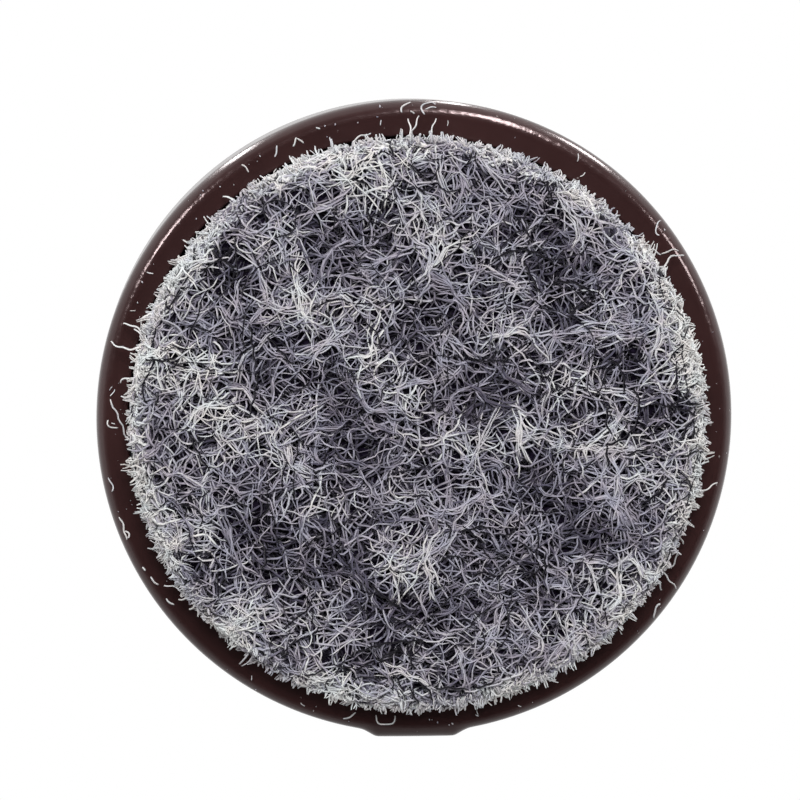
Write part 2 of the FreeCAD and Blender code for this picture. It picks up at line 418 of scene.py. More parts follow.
def finish_material(nodes, **sockets):
    """Close a material with one surface shader."""
    shader = nodes.add("ShaderNodeBsdfPrincipled", **sockets)
    nodes.add("ShaderNodeOutputMaterial", Surface=shader.outputs["BSDF"])


def shaded(shade, factor):
    """A colour made lighter or darker by a factor."""
    return tuple(min(part * factor, 1.0) for part in shade)


def plastic_material(settings):
    """Glossy brown moulded plastic: faint flow marks, a slight orange peel, rubbed spots, fine dust and
    a burr along the lip's outer edge.
    """
    material, nodes, where = new_material("brown_plastic")
    flow = nodes.noise(where, FLOW_MARKS)
    peel = nodes.noise(where, PEEL, detail=2.0)
    rubs = nodes.noise(where, RUBS, detail=6.0, roughness=0.7)
    grains = nodes.add("ShaderNodeTexVoronoi", Vector=where, Scale=GRAINS).outputs["Distance"]
    grain = nodes.math("LESS_THAN", grains, GRAIN_REACH)
    speck = nodes.math("MULTIPLY", grain, nodes.math("GREATER_THAN", rubs, DUSTY_FROM))
    body = nodes.ramp(flow, (0.3, shaded(settings.plastic, 0.85)), (0.7, shaded(settings.plastic, 1.2)))
    off_edge = nodes.math("SUBTRACT", nodes.off_axis(where), CUP_HIGH.x - settings.lip_inset)
    near_edge = nodes.between(nodes.math("ABSOLUTE", off_edge), 1.0, 0.0, end=BURR_REACH)
    burr = nodes.math("MULTIPLY", nodes.noise(where, BURR, detail=2.0), near_edge)
    relief = nodes.math("ADD", nodes.math("MULTIPLY", peel, PEEL_SHARE), burr)
    finish_material(
        nodes,
        Base_Color=nodes.mix(nodes.math("MULTIPLY", speck, DUST_COVER), body, DUST_SHADE),
        Roughness=nodes.between(rubs, 0.1, 0.3),
        Specular_IOR_Level=0.3,
        Specular_Tint=(*settings.gloss, 1.0),
        Normal=nodes.bump(relief, 0.7, 0.03 * MM),
    )
    return material


def steel_material(settings):
    """Bright plated wire: lines drawn along the shank and a faint cloudy plating."""
    material, nodes, where = new_material("plated_steel")
    stretched = nodes.add("ShaderNodeMapping", Vector=where, Scale=WIRE_STRETCH).outputs["Vector"]
    lines = nodes.noise(stretched, WIRE_LINES, detail=2.0)
    cloud = nodes.noise(where, PLATING, detail=4.0)
    base = nodes.ramp(cloud, (0.3, shaded(settings.steel, 0.8)), (0.7, shaded(settings.steel, 1.1)))
    finish_material(
        nodes,
        Base_Color=base,
        Metallic=1.0,
        Roughness=nodes.between(lines, 0.2, 0.42),
        Normal=nodes.bump(lines, 0.4, 0.003 * MM),
    )
    return material


def glue_material():
    """Dried glue film: yellowish, with faint bubbles."""
    material, nodes, where = new_material("dried_glue")
    bubbles = nodes.noise(where, BUBBLES, detail=4.0)
    base = nodes.ramp(bubbles, (0.35, GLUE_DARK), (0.65, GLUE_PALE))
    finish_material(nodes, Base_Color=base, Roughness=nodes.between(bubbles, 0.3, 0.6))
    return material


def felt_body_material(settings):
    """Felt body between the fibres: near black as painted shade, paler at the cut rim as painted light.
    """
    material, nodes, where = new_material("felt_body")
    streaks = nodes.noise(where, STREAKS, detail=4.0)
    # Painted shade: near black for the shade deep between the fibres.
    mass = nodes.ramp(streaks, (0.35, shaded(settings.painted_gap_shade, 0.4)), (0.7, shaded(settings.painted_gap_shade, 2.2)))
    # Painted light: paler towards the cut rim, where the edge is less shaded.
    rim = nodes.ramp(streaks, (0.35, shaded(settings.middle, 0.03)), (0.7, shaded(settings.middle, 0.3)))
    starts = FELT_HIGH.x - settings.edge_rounding
    ends = FELT_HIGH.x - settings.edge_rounding / 4
    out = nodes.between(nodes.off_axis(where), 0.0, 1.0, starts, ends, "SMOOTHSTEP")
    finish_material(
        nodes,
        Base_Color=nodes.mix(out, mass, rim),
        Roughness=0.95,
        Normal=nodes.bump(streaks, 1.0, 0.04 * MM),
    )
    return material


def fibre_material(settings):
    """Felt fibre whose colour follows the tone that each fibre carries, with a slight change along it
    and a cool or warm tint by place. The tone holds painted shade, darker for deeper layers, and painted
    light, paler towards the rim.
    """
    material, nodes, where = new_material("felt_fibre")
    tone = nodes.add("ShaderNodeAttribute", {"attribute_name": TONE}).outputs["Fac"]
    drift = nodes.between(nodes.noise(where, DRIFT, detail=2.0), -0.06, 0.06)
    # Painted shade and light: the tone is darker for deeper fibres and paler near the rim.
    shade = nodes.ramp(
        nodes.math("ADD", tone, drift),
        (0.0, settings.dark),
        (0.35, settings.shaded),
        (0.65, settings.middle),
        (1.0, settings.pale),
    )
    place = nodes.noise(where, TINT, detail=2.0)
    tint = nodes.ramp(place, (0.36, settings.cool), (0.64, settings.warm))
    finish_material(
        nodes,
        Base_Color=nodes.mix(1.0, shade, tint, blend="MULTIPLY"),
        Roughness=0.6,
        Sheen_Weight=0.15,
        Specular_IOR_Level=0.3,
    )
    return material


# Fibres.

# Distances from the felt's rim between which the middles of the fibres lie, in millimetres.
WHOLE = (-9.9, 1.4)
RIM = (-0.9, 1.3)


@dataclass
class Layer:
    """One layer of felt fibres. Spread, depth, span and distances from the rim are in millimetres."""

    name: str
    count: int
    points: int
    strands: int
    spread: float
    depth: tuple
    tone: tuple
    span: tuple
    curl: float
    thickness: float
    rim: tuple = WHOLE


# Tones rise from the deep layers to the top layers: the darker deep fibres are painted shade within the
# felt.
LAYERS = (
    Layer("felt_fibres_deep", 2300, 7, 2, 0.1, (0.42, 0.58), (0.0, 0.06), (1.0, 2.2), 0.6, 1.2),
    Layer("felt_fibres_low", 2800, 8, 2, 0.1, (0.28, 0.46), (0.06, 0.3), (1.0, 2.2), 0.6, 1.1),
    Layer("felt_fibres_fill", 2000, 7, 2, 0.12, (0.2, 0.36), (0.26, 0.46), (0.6, 1.5), 0.8, 1.0),
    Layer("felt_fibres_mid", 3300, 9, 1, 0.0, (0.1, 0.28), (0.4, 0.69), (0.8, 2.2), 0.7, 1.0),
    Layer("felt_fibres_top", 2400, 11, 1, 0.0, (0.06, 0.2), (0.52, 0.76), (1.0, 2.6), 0.7, 1.0),
    Layer("felt_fibres_streams", 700, 12, 5, 0.06, (0.04, 0.14), (0.55, 0.78), (1.4, 3.4), 0.45, 1.0),
    Layer("felt_fibres_loops", 160, 16, 1, 0.0, (0.03, 0.12), (0.6, 0.85), (1.2, 2.6), 1.6, 0.95),
    Layer("felt_fibres_black", 300, 16, 1, 0.0, (0.0, 0.06), (0.0, 0.02), (1.6, 4.0), 0.7, 0.75),
    Layer("felt_fibres_rim", 1450, 7, 3, 0.08, (0.0, 0.3), (0.82, 1.0), (0.4, 1.3), 0.7, 1.1, RIM),
)

# Pale and dark patches of the felt: across, along and radius in millimetres, and how pale.
PATCHES = (
    (-9.1, -2.5, 1.6, 1.3),
    (-7.3, -1.0, 1.3, 0.9),
    (-8.8, 2.9, 1.4, 1.3),
    (-1.3, -8.6, 2.0, 0.8),
    (-5.2, -5.4, 1.6, 0.5),
    (-4.0, -3.2, 1.6, 0.4),
    (5.1, 0.1, 1.2, 0.7),
    (8.9, 1.9, 1.5, 1.0),
    (-0.6, 1.2, 1.1, 0.5),
    (4.8, 7.5, 1.2, 0.7),
    (1.4, 2.6, 1.0, 0.4),
    (9.2, -3.2, 1.3, 0.5),
    (2.4, -1.1, 1.4, -1.0),
    (-6.1, 4.0, 1.5, -1.0),
    (-3.3, -5.6, 1.5, -0.7),
    (4.8, 3.6, 1.7, -0.9),
    (7.2, -2.3, 1.0, 0.4),
    (2.1, 5.0, 1.2, -0.7),
    (-2.3, 0.2, 1.3, -0.5),
    (-3.0, 2.6, 1.3, -0.4),
    (-4.0, 7.7, 1.4, -0.4),
    (2.1, 7.9, 1.4, -0.4),
    (4.8, -5.6, 1.3, -0.3),
    (2.4, -9.3, 1.6, -0.6),
    (5.8, -7.6, 1.6, -0.3),
    (-6.9, -7.0, 1.4, -1.2),
    (-7.2, 7.0, 1.4, 0.9),
    (0.0, -6.0, 2.0, 0.4),
    (-6.0, 0.5, 1.8, 0.6),
    (8.1, -0.6, 1.2, 1.0),
)
TUBE_SIDES = 3
WAVES = 14
# Lengths of the waves of an uneven field and of webs, as shares of the typical size.
WAVE_SIZES = (0.6, 2.2)
WEB_SIZES = (0.6, 1.6)
# How much the strands of a bundle differ: heading in radians, curl in radians to the millimetre.
STRAND_HEADING = 0.16
STRAND_CURL = 0.15
# Sway of a fibre: ranges of the swing in radians and of the pace in radians to the millimetre.
SLOW_SWAY = ((0.1, 0.45), (1.5, 5.0))
QUICK_SWAY = ((0.05, 0.3), (5.0, 9.0))
# Patches: width of a bell, shares of the bells and of the small waves, and bending in millimetres.
BELL_WIDTH = 0.9
BELL_SHARE = 0.9
SMALL_SHARE = 0.45
PATCH_BEND = 0.5
# How fast the felt's missing radius falls off beside its short side.
SHORT_FALL = 5.0
# Cell of a fibre in the map: margin round it, band kept for each end, and corners of the two end faces.
CELL_MARGIN = 0.04
END_BAND = 0.1
END_FACES = (((0.1, 0.0), (0.9, 0.0), (0.5, 0.08)), ((0.1, 1.0), (0.5, 0.92), (0.9, 1.0)))
TAPER_POWER = 8


def shared(values, strands, count):
    """The same value for all strands of a bundle."""
    return np.repeat(values, strands, axis=0)[:count]


def scatter_ring(draws, count, inner, outer):
    """Points spread evenly over a flat ring: the square of the distance is an even draw."""
    reach = np.sqrt(draws.uniform(inner**2, outer**2, count))
    turn = draws.uniform(0, FULL_TURN, count)
    return np.stack((reach * np.cos(turn), reach * np.sin(turn)), axis=-1)


def curled_lines(draws, layer):
    """Curled lines in a plane, each with its middle at zero, in bundles that run side by side.

    The heading at distance s is a + k s plus two sines of s, a slow one and a quick one, with k the
    line's own curl, and the line is the running sum of the headings' steps. The strands of a bundle
    differ a little in heading and curl.
    """
    count, strands = layer.count, layer.strands
    bundles = math.ceil(count / strands)

    def drawn(low, high):
        return shared(draws.uniform(low, high, bundles), strands, count)[:, None]

    def sway(swing, pace):
        return drawn(*swing) * np.sin(drawn(*pace) / MM * run + drawn(0, FULL_TURN))

    lengths = draws.uniform(*layer.span, count)[:, None] * MM
    run = np.linspace(-0.5, 0.5, layer.points)[None, :] * lengths
    heading = drawn(0, FULL_TURN) + draws.normal(0, STRAND_HEADING, count)[:, None]
    bend = shared(draws.normal(0, layer.curl, bundles), strands, count)[:, None]
    bend = (bend + draws.normal(0, STRAND_CURL, count)[:, None]) / MM
    way = heading + bend * run + sway(*SLOW_SWAY)
    way = way + sway(*QUICK_SWAY)
    steps = np.stack((np.cos(way), np.sin(way)), axis=-1) * (lengths / (layer.points - 1))[..., None]
    line = np.cumsum(steps, axis=1)
    return line - line[:, layer.points // 2][:, None]


def waves(draws, size):
    """A smooth uneven field: a sum of plane waves with random headings and lengths about a size."""
    heading = draws.uniform(0, FULL_TURN, WAVES)
    pace = FULL_TURN / (size * draws.uniform(*WAVE_SIZES, WAVES))
    phase = draws.uniform(0, FULL_TURN, WAVES)

    def field(spots):
        across = spots[..., :1] * np.cos(heading) + spots[..., 1:2] * np.sin(heading)
        return np.sin(across * pace + phase).sum(-1) / math.sqrt(WAVES / 2)

    return field


def webs(draws, size, reach):
    """Shifts that draw fibres together into webs with holes between them.

    Each plane wave shifts a point along its heading by the cosine of the point's place, so that points
    crowd where the cosine falls and part where it rises.
    """
    turn = draws.uniform(0, FULL_TURN, WAVES)
    heading = np.stack((np.cos(turn), np.sin(turn)), axis=-1)
    pace = FULL_TURN / (size * draws.uniform(*WEB_SIZES, WAVES))
    phase = draws.uniform(0, FULL_TURN, WAVES)

    def field(spots):
        return np.cos(spots @ heading.T * pace + phase) @ heading * reach / math.sqrt(WAVES / 2)

    return field


def tufts(draws, size):
    """How pale the felt is at a point: small waves, and a bell over each patch that waves bend.

    The bell of a patch of radius r is exp(-d^2 / (BELL_WIDTH r^2)) at the distance d from its middle.
    """
    small = waves(draws, size)
    warp = waves(draws, size)
    table = np.array(PATCHES)

    def field(spots):
        bent = spots / MM + PATCH_BEND * np.stack((warp(spots), small(spots)), axis=-1)
        away = ((bent[..., None, :] - table[:, :2]) ** 2).sum(-1)
        bells = (table[:, 3] * np.exp(-away / (BELL_WIDTH * table[:, 2] ** 2))).sum(-1)
        return BELL_SHARE * bells + SMALL_SHARE * small(spots)

    return field


def cut_short(felt, facing):
    """How much of the felt's radius is missing: short_by exp(SHORT_FALL (f - 1)), with f the cosine of
    the angle from the short side.
    """
    return felt.short_by * np.exp(SHORT_FALL * (facing - 1))


def on_felt(felt, spots, depth):
    """Wrap points of a flat disc over the felt at a depth under its surface; gives the normals as well.

    A point's distance from the disc's middle runs along the felt's outline: over the face as far as
    R - e, round the edge of rounding e by the angle (distance - (R - e)) / e up to a quarter turn, then
    up the side. Where the disc was cut short, the radius is less by the share that cut_short gives.
    """
    rounding = felt.edge_rounding
    flat_radius = FELT_HIGH.x - rounding
    reach = np.hypot(spots[..., 0], spots[..., 1])
    outward = spots / np.maximum(reach, MERGE_DISTANCE)[..., None]
    turn = np.clip((reach - flat_radius) / rounding, 0, math.pi / 2)
    up_side = np.maximum(reach - flat_radius - rounding * math.pi / 2, 0)
    radius = np.minimum(reach, flat_radius) + (rounding - depth) * np.sin(turn)
    height = FELT_LOW.z + rounding - (rounding - depth) * np.cos(turn) + up_side
    facing = outward[..., 0] * math.cos(felt.short_side) + outward[..., 1] * math.sin(felt.short_side)
    radius = radius * (1 - cut_short(felt, facing) / FELT_HIGH.x)
    place = np.concatenate((outward * radius[..., None], height[..., None]), axis=-1)
    normal = np.concatenate((outward * np.sin(turn)[..., None], -np.cos(turn)[..., None]), axis=-1)
    return place, normal


def add_tubes(name, paths, sideways, radii, tones, material, nodes=()):
    """Thin closed tubes along many paths at once, with a tone and a map cell for each.

    Each ring has TUBE_SIDES points at equal turns in the plane across the path, which is spanned by
    side = path direction x sideways and by side x path direction. The ends are closed by one face each.
    """
    count, points, _ = paths.shape
    forward = unit(np.gradient(paths, axis=1))
    side = unit(np.cross(forward, sideways))
    lift = np.cross(side, forward)
    turn = np.arange(TUBE_SIDES) * 2 * math.pi / TUBE_SIDES
    spoke = side[:, :, None] * np.cos(turn)[:, None] + lift[:, :, None] * np.sin(turn)[:, None]
    rings = paths[:, :, None] + spoke * radii[:, :, None, None]
    per_fibre = points * TUBE_SIDES
    wall = ring_quads(points, TUBE_SIDES, False)[:, ::-1]
    first_end = np.arange(TUBE_SIDES)
    last_end = (points - 1) * TUBE_SIDES + np.arange(TUBE_SIDES)[::-1]
    one = np.concatenate((wall.ravel(), first_end, last_end))
    loops = (np.arange(count)[:, None] * per_fibre + one[None, :]).ravel()
    sizes = np.concatenate((np.full(len(wall), 4), (TUBE_SIDES, TUBE_SIDES)))
    one_starts = np.concatenate(((0,), np.cumsum(sizes)[:-1]))
    starts = (np.arange(count)[:, None] * len(one) + one_starts[None, :]).ravel()
    piece = add_piece(name, rings.reshape(-1, 3), loops, starts, material, nodes)
    tone = piece.data.attributes.new(TONE, "FLOAT", "POINT")
    tone.data.foreach_set("value", np.repeat(tones, TUBE_SIDES, axis=1).astype(np.float32).ravel())
    map_tubes(piece.data, count, points)
    return piece


def map_tubes(mesh, count, points):
    """A map with one cell for each fibre: along the fibre up the cell, round it across the cell."""
    column = np.arange(TUBE_SIDES)
    row = np.arange(points - 1)
    step = (1 - 2 * END_BAND) / (points - 1)
    low = END_BAND + step * row[:, None] + 0 * column
    high = low + step
    left = column / TUBE_SIDES + 0 * row[:, None]
    right = left + 1 / TUBE_SIDES
    corners = ((left, high), (right, high), (right, low), (left, low))
    wall = np.stack([np.stack(corner, axis=-1) for corner in corners], axis=2)
    one = np.concatenate((wall.reshape(-1, 2), np.array(END_FACES).reshape(-1, 2)))
    across = math.ceil(math.sqrt(count))
    cell = np.stack((np.arange(count) % across, np.arange(count) // across), axis=-1)
    spots = (cell[:, None] + CELL_MARGIN + (1 - 2 * CELL_MARGIN) * one[None]) / across
    layer = mesh.uv_layers.new(name=BAKE_MAP)
    layer.data.foreach_set("uv", spots.astype(np.float32).ravel())


def taper(count, points, tip):
    """Share of the full radius along a fibre: full in the middle, down to tip at both ends."""
    run = np.linspace(-1, 1, points)[None, :]
    return np.broadcast_to(1 - (1 - tip) * run**TAPER_POWER, (count, points))


# Operators.

# The camera sees from its distance divided by this to its distance times this.
CLIP_RANGE = 100
# Floor: sides, how far it lies under the felt, distances between which it fades to white, and colour.
FLOOR_SIDES = 64
FLOOR_SINK = 1e-5
FLOOR_FADE = (20 * MM, 90 * MM)
FLOOR_SHADE = (0.86, 0.86, 0.86, 1.0)
# Surroundings: heights between which they brighten, shares towards -Y and +Y, gain towards both sides.
HORIZON = (-0.6, 0.1)
LEAN = (1.2, 0.5)
SIDE_GAIN = 1.5
WHITE = (1.0, 1.0, 1.0, 1.0)


class GLIDE_OT_stage(bpy.types.Operator):
    """Make the camera, the floor, the world and the lamps."""

    bl_idname = "glide.stage"
    bl_label = "Stage"

    def execute(self, context):
        stage = context.scene.glide_stage
        make_camera(stage)
        make_floor(stage)
        make_world(stage)
        make_lamps()
        context.scene.view_settings.view_transform = "Standard"
        return {"FINISHED"}


def from_below(bearing, rise):
    """Direction at a bearing round the axis and an angle up from straight below."""
    out = math.sin(rise)
    return Vector((out * math.cos(bearing), out * math.sin(bearing), -math.cos(rise)))


def make_camera(stage):
    """Look up at the felt so that the cup's widest circle shows at its place and size in the picture."""
    cup = bpy.context.scene.glide_cup
    middle = Vector((0, 0, CUP_LOW.z + cup.shoulder_height))
    towards = from_below(stage.bearing, stage.tilt)
    right = (-towards).cross(Vector((0, -1, 0))).normalized()
    up = right.cross(-towards)
    pixel = CUP_HIGH.x / stage.circle_radius
    half = PICTURE_WIDTH / 2
    place = middle + towards * stage.distance
    place += (half - stage.centre_across) * pixel * right + (stage.centre_down - half) * pixel * up
    lens = bpy.data.cameras.new("camera")
    lens.sensor_width = SENSOR_WIDTH_MM
    lens.lens = stage.distance / pixel * SENSOR_WIDTH_MM / PICTURE_WIDTH
    lens.clip_start = stage.distance / CLIP_RANGE
    lens.clip_end = stage.distance * CLIP_RANGE
    camera = bpy.data.objects.new("camera", lens)
    turn = Matrix((right, up, towards)).transposed().to_4x4()
    camera.matrix_world = Matrix.Translation(place) @ turn
    bpy.context.scene.collection.objects.link(camera)
    bpy.context.scene.camera = camera


def make_floor(stage):
    """A pale floor under the felt that fades to white far out and is open from below."""
    turns = even_turns(FLOOR_SIDES)
    points = np.stack((np.cos(turns), np.sin(turns), np.full_like(turns, -FLOOR_SINK)), axis=-1)
    mesh = bpy.data.meshes.new("floor")
    mesh.from_pydata(points * (stage.floor_radius, stage.floor_radius, 1.0), [], [range(FLOOR_SIDES)])
    material, nodes, where = new_material("floor")
    plain = nodes.add("ShaderNodeBsdfDiffuse", Color=FLOOR_SHADE).outputs[0]
    white = nodes.add("ShaderNodeEmission").outputs[0]
    fade = nodes.between(nodes.size(where), 0.0, 1.0, *FLOOR_FADE, "SMOOTHSTEP")
    clear = nodes.add("ShaderNodeBsdfTransparent").outputs[0]
    below = nodes.add("ShaderNodeNewGeometry").outputs["Backfacing"]
    one_sided = nodes.mix_shaders(below, nodes.mix_shaders(fade, plain, white), clear)
    nodes.add("ShaderNodeOutputMaterial", Surface=one_sided)
    mesh.materials.append(material)
    floor = bpy.data.objects.new("floor", mesh)
    floor.visible_diffuse = False
    floor.visible_glossy = False
    floor.visible_transmission = False
    floor.visible_shadow = False
    bpy.context.scene.collection.objects.link(floor)


def make_world(stage):
    """White to the eye. As light and in reflections it is dim below, brighter from the horizon up, more
    so towards -Y than towards +Y, and most towards both sides.
    """
    world = bpy.data.worlds.new("studio")
    world.use_nodes = True
    bpy.context.scene.world = world
    nodes = Nodes(world.node_tree)
    way = nodes.add("ShaderNodeTexCoord").outputs["Generated"]
    parts = nodes.add("ShaderNodeSeparateXYZ", Vector=way).outputs
    rise = nodes.between(parts["Z"], stage.below, stage.beside, *HORIZON)
    lean = nodes.between(parts["Y"], *LEAN, start=-1.0)
    sides = nodes.between(nodes.math("ABSOLUTE", parts["X"]), 1.0, SIDE_GAIN)
    level = nodes.math("MULTIPLY", nodes.math("MULTIPLY", rise, lean), sides)
    surroundings = nodes.add("ShaderNodeBackground", Color=WHITE, Strength=level).outputs[0]
    white = nodes.add("ShaderNodeBackground", Color=WHITE, Strength=1.0).outputs[0]
    seen = nodes.add("ShaderNodeLightPath").outputs["Is Camera Ray"]
    nodes.add("ShaderNodeOutputWorld", Surface=nodes.mix_shaders(seen, surroundings, white))


@dataclass
class Lamp:
    """A lamp: bearing round the axis and angle up from straight below in degrees, distance, width and
    height in millimetres, brightness where 1 is white, and whether it lights the object or only shows in
    its gloss.
    """

    name: str
    bearing: float
    rise: float
    distance: float
    width: float
    height: float
    brightness: float
    lights: bool


LAMPS = (
    Lamp("key", 268.0, 25.0, 200.0, 80.0, 80.0, 16.6, True),
    Lamp("strip_left", 213.5, 52.0, 160.0, 30.0, 64.0, 60.0, False),
    Lamp("strip_top", 290.0, 54.0, 160.0, 28.0, 100.0, 70.0, False),
    Lamp("strip_right", 336.0, 58.0, 160.0, 26.0, 60.0, 40.0, False),
    Lamp("strip_side_right", 308.0, 110.0, 160.0, 24.0, 24.0, 70.0, False),
    Lamp("strip_back_left", 236.0, 123.0, 160.0, 10.0, 66.0, 55.0, False),
    Lamp("strip_back_top", 282.0, 130.0, 160.0, 8.0, 50.0, 40.0, False),
)


def make_lamps():
    """A soft lamp that lights the object, and strips that only draw highlights along the cup's edges.

    A flat lamp of area A that is to be L bright needs L pi A watts.
    """
    glossy = bpy.data.collections.new("glossy")
    glossy.objects.link(bpy.data.objects["cup_shell"])
    for lamp in LAMPS:
        light = bpy.data.lights.new(lamp.name, "AREA")
        light.shape = "RECTANGLE"
        light.size = lamp.width * MM
        light.size_y = lamp.height * MM
        light.energy = lamp.brightness * math.pi * light.size * light.size_y
        away = from_below(math.radians(lamp.bearing), math.radians(lamp.rise))
        item = bpy.data.objects.new(lamp.name, light)
        item.location = away * lamp.distance * MM
        item.rotation_mode = "QUATERNION"
        item.rotation_quaternion = away.to_track_quat("Z", "Y")
        item.visible_camera = False
        item.visible_diffuse = lamp.lights
        item.visible_glossy = not lamp.lights
        if not lamp.lights:
            item.light_linking.receiver_collection = glossy
        bpy.context.scene.collection.objects.link(item)


# Section of the cup: points on a rounded corner, places of the points along a side, and rounding of the
# shoulder's corner as a share of its arc's radius.
CUP_ARC_POINTS = 6
CUP_SIDES = (0.04, 0.2, 0.375, 0.4, 0.96)
SHOULDER_SHARE = 0.64
# The gate is within the angle that has this cosine.
GATE_COSINE = 0.9
# Margin for picking points of the section out by their place.
SLACK = 1.01


class GLIDE_OT_cup(bpy.types.Operator):
    """Turn the moulded cup and put the stub of its gate on."""

    bl_idname = "glide.cup"
    bl_label = "Cup"

    def execute(self, context):
        cup = context.scene.glide_cup
        material = plastic_material(cup)
        outline = cup_outline(cup)
        turns = cup_turns(cup)
        radii = outline[:, :1] + gate_swell(cup, outline, turns)
        radii = radii - recess_fit(cup, context.scene.glide_felt, outline, turns)
        rings = turn_round(radii, outline[:, 1], turns)
        add_rings("cup_shell", rings, True, material, ("cup",))
        return {"FINISHED"}


def cup_turns(cup):
    """Even steps round the axis, with finer ones across the gate at a quarter turn."""
    reach = 2 * (cup.gate_width / 2 + cup.gate_flare) / CUP_HIGH.x
    fine = math.pi / 2 + np.linspace(-reach, reach, cup.gate_columns) / 2
    return np.unique(np.concatenate((even_turns(cup.columns), fine)))


def gate_swell(cup, outline, turns):
    """How far the trimmed gate pushes the wall out, by height and angle.

    At the angle d from the gate its flat end lies tip / cos d away and each sloping side
    (tip + s w) / (cos d + s sin d), with w half the end's width and s the slope. The nearer one holds
    where it is past the widest circle, both softened by the function q log(1 + exp(x / q)). The stub
    grows smoothly from the lip's edge up the shoulder and stops at the gate's top.
    """
    tip = CUP_HIGH.y
    half = cup.gate_width / 2
    soft = cup.small_rounding / 2
    slope = (tip - CUP_HIGH.x + cup.wall / 2) / cup.gate_flare
    off = np.abs(turns - math.pi / 2)
    ahead = np.cos(off) > GATE_COSINE
    flat_end = tip / np.where(ahead, np.cos(off), 1)
    side = (tip + slope * half) / np.where(ahead, np.cos(off) + slope * np.sin(off), 1)
    ridge = np.minimum(flat_end, side) - soft * np.log1p(np.exp(-np.abs(flat_end - side) / soft))
    swell = np.where(ahead, soft * np.logaddexp(0, (ridge - CUP_HIGH.x) / soft), 0)
    widest = CUP_LOW.z + cup.shoulder_height
    top = widest + cup.gate_height
    grow = np.clip((outline[:, 1] - CUP_LOW.z) / cup.shoulder_height, 0, 1)
    stop = np.clip((top - outline[:, 1]) / cup.lip_rounding, 0, 1)
    outside = outline[:, 0] > CUP_HIGH.x - cup.wall / 2
    return (grow**2 * (3 - 2 * grow) * stop * outside)[:, None] * swell[None, :]


def recess_fit(cup, felt, outline, turns):
    """How far the wall of the recess comes in to meet the felt's short side, by height and angle."""
    wall = CUP_HIGH.x - cup.wall
    off_wall = outline[:, 0] - wall
    on_wall = (off_wall < SLACK * cup.lip_rounding) & (off_wall > -SLACK * cup.small_rounding)
    low = outline[:, 1] < CUP_LOW.z + SLACK * cup.recess_depth
    return (on_wall & low)[:, None] * cut_short(felt, np.cos(turns - felt.short_side))[None, :]


def cup_outline(cup):
    """Half section of the cup as a closed rounded outline of radius and height.

    The shoulder is an arc that stands upright at the widest radius. With i the lip's inset and h the
    shoulder's height its radius is (i^2 + h^2) / 2i, and the tangents at its two ends meet at the corner
    given.
    """
    base = CUP_HIGH.x
    lip = CUP_LOW.z
    seat = CUP_HIGH.z
    floor = lip + cup.recess_depth
    arc = (cup.lip_inset**2 + cup.shoulder_height**2) / (2 * cup.lip_inset)
    turn = math.atan2(cup.shoulder_height, arc - cup.lip_inset)
    shoulder = lip + cup.shoulder_height - arc * math.tan(turn / 2)
    seat_inside = base - cup.draft - cup.seat_width
    relief = seat - cup.relief_depth
    counterbore = floor + cup.counterbore_depth
    small = cup.small_rounding
    corners = (
        (cup.bore_radius, counterbore, small),
        (cup.counterbore_radius, counterbore, small),
        (cup.counterbore_radius, floor, small),
        (base - cup.wall, floor, small),
        (base - cup.wall, lip, cup.lip_rounding),
        (base - cup.lip_inset, lip, cup.lip_edge),
        (base, shoulder, arc * SHOULDER_SHARE),
        (base - cup.draft, seat, cup.seat_rounding),
        (seat_inside, seat, small),
        (seat_inside, relief, small),
        (cup.boss_radius, relief, small),
        (cup.boss_radius, seat, small),
        (cup.bore_radius, seat, small),
    )
    table = np.array(corners)
    return round_steps(table[:, :2], table[:, 2], CUP_ARC_POINTS, CUP_SIDES, True)


# Section of the nail: points on a rounded corner, places of the points along a side, rings along the
# point, and power that softens its edges.
NAIL_ARC_POINTS = 5
NAIL_SIDES = (0.05, 0.5, 0.95)
POINT_RINGS = 40
POINT_POWER = 24


class GLIDE_OT_nail(bpy.types.Operator):
    """Turn the nail and flatten its point on four sides."""

    bl_idname = "glide.nail"
    bl_label = "Nail"

    def execute(self, context):
        nail = context.scene.glide_nail
        rings = nail_rings(nail)
        add_rings("nail_wire", rings, False, steel_material(nail), ("nail",))
        return {"FINISHED"}


